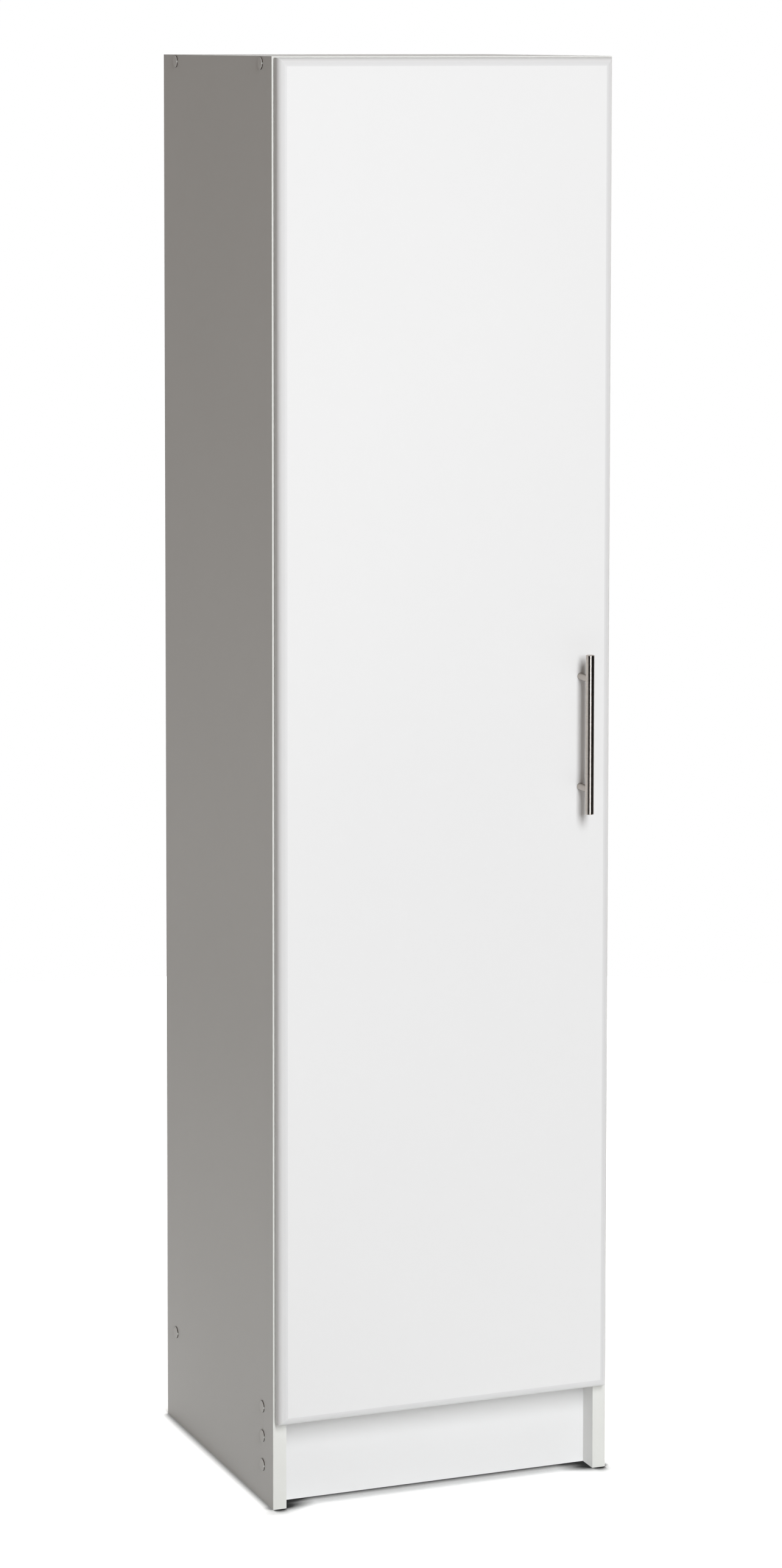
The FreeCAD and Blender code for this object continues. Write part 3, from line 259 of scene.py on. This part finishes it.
CAP_DARK, CAP_LIGHT = rgb(0.785, 0.78, 0.765), rgb(0.805, 0.80, 0.785)
# painted shade: the shadow in the gap under each cap's rim
CAP_GAP_PAINTED_SHADE = rgb(0.05, 0.036, 0.027)
CAP_SHADE_REACH = 0.95 * MM                   # how far out from the board the painted shade under the rim reaches
CAP_NOTCH = 0.9 * MM                    # half the height of the notch that breaks the painted shade
CAP_SOFTNESS = 2.0 * MM                 # how widely the light turns at a cap's rim
APART = 5 * MM                          # pieces of a group are further apart than this

STEEL_NICKEL = (rgb(0.60, 0.58, 0.55), rgb(0.66, 0.645, 0.615))
STEEL_ZINC = (rgb(0.52, 0.52, 0.49), rgb(0.62, 0.62, 0.60))
BAR_NICKEL = (rgb(0.52, 0.475, 0.435), rgb(0.57, 0.525, 0.485))
# the bar's nickel, painted darker on the posts as shade
POST_NICKEL_SHADED = (rgb(0.40, 0.365, 0.33), rgb(0.46, 0.42, 0.385))
RING_STRETCH = 0.06                     # the noise's scale across the axis, which makes it rings
TILT = (0.02, 0.01, 0.01)               # slight, so that the end faces have a smear direction too

BEECH_DARK, BEECH_LIGHT = rgb(0.48, 0.30, 0.16), rgb(0.66, 0.46, 0.28)
BUMPER_DARK, BUMPER_LIGHT = rgb(0.84, 0.85, 0.84), rgb(0.87, 0.88, 0.87)


def levels(name):
    """The heights at which the pieces of a group sit: the middle of each cluster of points."""
    piece = nodes[name]
    heights = sorted((piece.matrix_world @ point.co).z for point in piece.data.vertices)
    clusters = [[heights[0]]]
    for height in heights[1:]:
        if height - clusters[-1][-1] > APART:
            clusters.append([])
        clusters[-1].append(height)
    return [(cluster[0] + cluster[-1]) / 2 for cluster in clusters]


def cap_plastic():
    """Plastic like the board, soft at its rim, over a painted shade in the gap under the rim, which
    the lever notch breaks.
    """
    shader = Shader("cap_plastic")
    clean = shader.mottled(CAP_DARK, CAP_LIGHT, scale=150.0)
    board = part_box("side_panel_right")[1].x
    point = shader.axes("Object")
    outward = shader.math("ABSOLUTE", point[X_AXIS])
    # painted shade in the gap under the rim, left out where the notch's wall faces the light
    gap_shade = shader.math("LESS_THAN", outward, board + CAP_SHADE_REACH)
    for height in levels("screw_cover_caps"):
        off = shader.math("ABSOLUTE", shader.math("SUBTRACT", point[Z_AXIS], height))
        gap_shade = shader.math("MULTIPLY", gap_shade, shader.math("GREATER_THAN", off, CAP_NOTCH))
    soft = shader.node("ShaderNodeBevel", {"Radius": CAP_SOFTNESS}, samples=6).outputs[0]
    shader.set(Base_Color=shader.mix(gap_shade, clean, CAP_GAP_PAINTED_SHADE),
               Roughness=shader.uneven(0.36, 0.44, scale=900.0),
               Normal=shader.bump(shader.noise(1800.0), 0.02 * MM, 0.5, soft),
               IOR=1.46, Specular_IOR_Level=0.1)
    return shader.material


def plated(name, colours, roughness):
    """Plated steel with a faintly uneven tone and fine marks."""
    shader = Shader(name)
    marks = shader.noise(2400.0)
    shader.set(Base_Color=shader.mottled(*colours, scale=240.0, detail=3.0), Metallic=1.0,
               Roughness=shader.spread(marks, roughness * 0.8, roughness * 1.25),
               Normal=shader.bump(marks, 0.01 * MM, 0.4))
    return shader.material


def brushed_nickel(name, axis, colours, roughness, smear):
    """Warm satin nickel, brushed in fine rings round an axis, so that light smears along it."""
    shader = Shader(name)
    stretch = [RING_STRETCH] * 3
    stretch[axis] = 1.0
    along = list(TILT)
    along[axis] = 1.0
    rings = shader.noise(5200.0, stretch=stretch)
    direction = shader.node("ShaderNodeCombineXYZ", dict(zip("XYZ", along))).outputs[0]
    shader.set(Base_Color=shader.mottled(*colours, scale=900.0, stretch=stretch), Metallic=1.0,
               Roughness=shader.spread(rings, roughness * 0.95, roughness * 1.05),
               Anisotropic=smear, Tangent=direction,
               Normal=shader.bump(rings, 0.001 * MM, 0.3))
    return shader.material


def beech():
    """Pale wood with its grain along the dowels."""
    shader = Shader("beech")
    grain = shader.noise(900.0, detail=3.0, stretch=(0.05, 1, 1))
    shader.set(Base_Color=shader.mix(shader.spread(grain), BEECH_DARK, BEECH_LIGHT),
               Roughness=0.7, Normal=shader.bump(grain, 0.1 * MM, 0.6))
    return shader.material


def soft_bumper():
    """Clear soft plastic with a slight haze."""
    shader = Shader("soft_bumper")
    shader.set(Base_Color=shader.mottled(BUMPER_DARK, BUMPER_LIGHT, scale=260.0),
               Roughness=shader.uneven(0.12, 0.24, scale=400.0),
               Transmission_Weight=0.55, IOR=1.45)
    return shader.material


def finish_nodes():
    """A material on every CAD node: the boards by their thin direction, the rest by what they are."""
    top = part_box("side_panel_left")[1].z
    finishes = (
        (laminate("white_laminate_sides", LAMINATE, X_AXIS, top - FACED_TOP),
         ("side_panel_left", "side_panel_right")),
        (laminate("white_laminate_shelves", LAMINATE, Z_AXIS),
         ("top_panel", "bottom_panel", "upper_shelf")),
        (laminate("white_laminate_rails", LAMINATE_RAILS, Y_AXIS), ("kick_plate", "hanging_rail")),
        (door_foil(), ("door_panel",)),
        (band_plastic(), [name for name in nodes if name.endswith("edge_band")]),
        (hardboard(), ("back_panel",)),
        (cap_plastic(), ("screw_cover_caps",)),
        (brushed_nickel("brushed_nickel_bar", Z_AXIS, BAR_NICKEL, roughness=0.3, smear=0.97),
         ("handle_bar",)),
        (brushed_nickel("brushed_nickel_posts", Y_AXIS, POST_NICKEL_SHADED, roughness=0.24, smear=0.7),
         ("handle_posts",)),
        (plated("nickel_plated_steel", STEEL_NICKEL, roughness=0.26),
         [name for name in nodes if name.startswith("hinge_")] + ["shelf_pins"]),
        (plated("zinc_plated_steel", STEEL_ZINC, roughness=0.42),
         ("back_panel_nails", "carcass_screws", "rail_cams", "rail_cam_bolts", "handle_screws")),
        (beech(), ("rail_dowels",)),
        (soft_bumper(), ("door_bumpers",)),
    )
    for material, names in finishes:
        for name in names:
            for slot in nodes[name].material_slots:
                slot.material = material


# ---------------------------------------------------------------- world and floor

WORLD_LIGHT = 0.126
WORLD_COLOUR = rgb(1.0, 0.82, 0.675)
WHITE, BLACK = rgb(1, 1, 1), rgb(0, 0, 0)

FLOOR_RADIUS = 2.6
FLOOR_COLOUR = rgb(0.87, 0.885, 0.885)
FLOOR_GLOW = 0.8            # what the camera sees of the floor before any light falls on it
FLOOR_BOUNCE = 0.05         # light that the floor gives back besides the lamps'

SHADOW_AHEAD = 40 * MM      # reach of the contact shadow before and behind the cupboard
SHADOW_BESIDE = 14 * MM
DARKEST_AHEAD = 0.02        # what the contact shadow leaves of the floor's light
DARKEST_BESIDE = 0.2
FOOT_GAIN = 1.6             # the narrow feet would else cast a weaker contact shadow
COVERED, OPEN = 0.48, 0.02  # shares of the sky hidden where the shadow is full, and where it ends
UNDER_DEPTH = 190 * MM      # from the open rear to where the floor beneath is darkest
UNDER_LIGHT = 0.1           # what is left of the floor's light there


def seen_by(tree, kinds):
    """1 for the kinds of ray named, else 0."""
    path = tree.nodes.new("ShaderNodeLightPath")
    seen = path.outputs[kinds[0]]
    for kind in kinds[1:]:
        either = tree.nodes.new("ShaderNodeMath")
        either.operation = "MAXIMUM"
        tree.links.new(seen, either.inputs[0])
        tree.links.new(path.outputs[kind], either.inputs[1])
        seen = either.outputs[0]
    return seen


def make_world():
    """A dim warm room that the camera, metal and glass see as white."""
    world = bpy.data.worlds.new("studio")
    bpy.context.scene.world = world
    world.use_nodes = True
    tree = world.node_tree
    dull = tree.nodes["Background"]
    dull.inputs["Color"].default_value = WORLD_COLOUR
    dull.inputs["Strength"].default_value = WORLD_LIGHT
    white = tree.nodes.new("ShaderNodeBackground")
    white.inputs["Color"].default_value = WHITE
    choice = tree.nodes.new("ShaderNodeMixShader")
    seen = seen_by(tree, ("Is Camera Ray", "Is Glossy Ray", "Is Transmission Ray"))
    tree.links.new(seen, choice.inputs[0])
    tree.links.new(dull.outputs[0], choice.inputs[1])
    tree.links.new(white.outputs[0], choice.inputs[2])
    tree.links.new(choice.outputs[0], tree.nodes["World Output"].inputs["Surface"])


def contact_light(shader, point, off_centre):
    """1 on the open floor and less close to the cupboard, more narrowly beside it than ahead."""
    low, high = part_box("side_panel_right")
    within_width = shader.math("LESS_THAN", off_centre, high.x)
    in_front = shader.ramp(point[Y_AXIS], low.y - SHADOW_BESIDE, low.y, 1.0, 0.0)
    ahead = shader.math("MAXIMUM", within_width, in_front)
    reach = shader.ramp(ahead, 0.0, 1.0, SHADOW_BESIDE, SHADOW_AHEAD)
    darkest = shader.ramp(ahead, 0.0, 1.0, DARKEST_BESIDE, DARKEST_AHEAD)
    gain = shader.ramp(point[Y_AXIS], low.y, low.y + SHADOW_BESIDE, FOOT_GAIN, 1.0)
    sky = shader.node("ShaderNodeAmbientOcclusion", {"Distance": reach}, samples=16)
    hidden = shader.math("SUBTRACT", 1.0, sky.outputs["AO"])
    return shader.ramp(shader.math("MULTIPLY", hidden, gain), COVERED, OPEN, darkest, 1.0)


def light_beneath(shader, point, off_centre):
    """1 on the open floor, less and less under the cupboard as seen from its open rear."""
    low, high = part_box("side_panel_right")
    between_panels = shader.math("LESS_THAN", off_centre, low.x)
    behind_kick = shader.math("GREATER_THAN", point[Y_AXIS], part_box("kick_plate")[1].y)
    elsewhere = shader.math("SUBTRACT", 1.0, shader.math("MULTIPLY", between_panels, behind_kick))
    fading = shader.ramp(point[Y_AXIS], high.y - UNDER_DEPTH, high.y, UNDER_LIGHT, 1.0,
                         interpolation_type="SMOOTHSTEP")
    return shader.math("MAXIMUM", fading, elsewhere)


def floor_material():
    """Pale and matt. The camera sees it white, down to the cupboard's shadow and contact."""
    shader = Shader("studio_floor")
    point = shader.axes("Object")
    off_centre = shader.math("ABSOLUTE", point[X_AXIS])
    clear = shader.math("MULTIPLY", contact_light(shader, point, off_centre),
                        light_beneath(shader, point, off_centre))
    diffuse = shader.node("ShaderNodeBsdfDiffuse", {"Color": FLOOR_COLOUR})
    bounce = shader.node("ShaderNodeEmission", {"Color": FLOOR_COLOUR, "Strength": FLOOR_BOUNCE})
    matt = shader.node("ShaderNodeAddShader", {0: diffuse.outputs[0], 1: bounce.outputs[0]})
    shaded = shader.mix(clear, BLACK, FLOOR_COLOUR)
    lit = shader.node("ShaderNodeBsdfDiffuse", {"Color": shaded})
    glow = shader.node("ShaderNodeEmission", {"Color": clear, "Strength": FLOOR_GLOW})
    seen = shader.node("ShaderNodeAddShader", {0: lit.outputs[0], 1: glow.outputs[0]})
    white = shader.node("ShaderNodeEmission", {"Color": clear, "Strength": 1.0})
    direct = shader.node("ShaderNodeMixShader", {0: seen_by(shader.tree, ("Is Camera Ray",)),
                                                 1: matt.outputs[0], 2: seen.outputs[0]})
    mirrored = seen_by(shader.tree, ("Is Glossy Ray", "Is Transmission Ray"))
    choice = shader.node("ShaderNodeMixShader", {0: mirrored, 1: direct.outputs[0],
                                                 2: white.outputs[0]})
    shader.put(shader.output.inputs["Surface"], choice.outputs[0])
    return shader.material


def make_floor():
    bpy.ops.mesh.primitive_circle_add(vertices=96, radius=FLOOR_RADIUS, fill_type="NGON",
                                      location=(0, 0, 0))
    floor = bpy.context.object
    floor.name = "studio_floor"
    floor.data.materials.append(floor_material())


# ---------------------------------------------------------------- lights

CARD_HEIGHT = 2.8
CARD_DISTANCE = 0.8         # from the handle's bar


def area_light(name, place, target, size, power, colour=(1, 1, 1)):
    """A rectangular lamp aimed at a point. Its size is its width and height, its power in watts."""
    data = bpy.data.lights.new(name, "AREA")
    data.shape = "RECTANGLE"
    data.size, data.size_y = size
    data.energy = power
    data.color = colour
    light = bpy.data.objects.new(name, data)
    bpy.context.scene.collection.objects.link(light)
    light.location = place
    aim = Vector(target) - Vector(place)
    light.rotation_euler = aim.to_track_quat("-Z", "Y").to_euler()
    return light


def dark_card(name, azimuth, width):
    """A black card that only reflections see: it draws a dark band in the handle."""
    angle = math.radians(azimuth)
    low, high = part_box("handle_bar")
    place = Vector(((low.x + high.x) / 2 + math.sin(angle) * CARD_DISTANCE,
                    low.y - math.cos(angle) * CARD_DISTANCE, CARD_HEIGHT / 2))
    bpy.ops.mesh.primitive_plane_add(size=1, location=place)
    card = bpy.context.object
    card.name = name
    card.scale = (width, CARD_HEIGHT, 1)
    card.rotation_euler = (math.pi / 2, 0, angle)
    shader = Shader(name)
    black = shader.node("ShaderNodeEmission", {"Color": BLACK})
    shader.put(shader.output.inputs["Surface"], black.outputs[0])
    card.data.materials.append(shader.material)
    card.visible_camera = False
    card.visible_diffuse = False
    card.visible_shadow = False
    card.visible_transmission = False


def make_lights():
    """A key from the front, two fills, a glint for the handle, and the cards beside it."""
    key = area_light("key", place=(-0.33, -4.2, 2.6), target=(-0.05, 0, 0.9),
                     size=(1.1, 2.5), power=165, colour=(0.97, 0.989, 1.0))
    rear_fill = area_light("rear_fill", place=(1.2, 3.4, 2.2), target=(0, 0, 0.8),
                           size=(2.0, 2.0), power=70)
    side_fill = area_light("side_fill", place=(3.4, 1.0, 2.0), target=(0.2, 0.1, 0.8),
                           size=(2.0, 2.0), power=25)
    for lamp in (key, rear_fill, side_fill):
        lamp.visible_glossy = False     # the top would else glare white when seen from behind
    glint = area_light("glint", place=(-0.33, -4.2, 0.9), target=(-0.05, 0, 0.9),
                       size=(1.1, 1.4), power=60)
    glint.visible_diffuse = False       # for reflections alone, too low to be mirrored in the top
    dark_card("card_left", azimuth=-49, width=0.96)
    dark_card("card_right", azimuth=54, width=1.9)


# ---------------------------------------------------------------- run

bpy.context.scene.view_settings.view_transform = "Standard"
make_camera()
make_world()
make_floor()
make_lights()
finish_nodes()
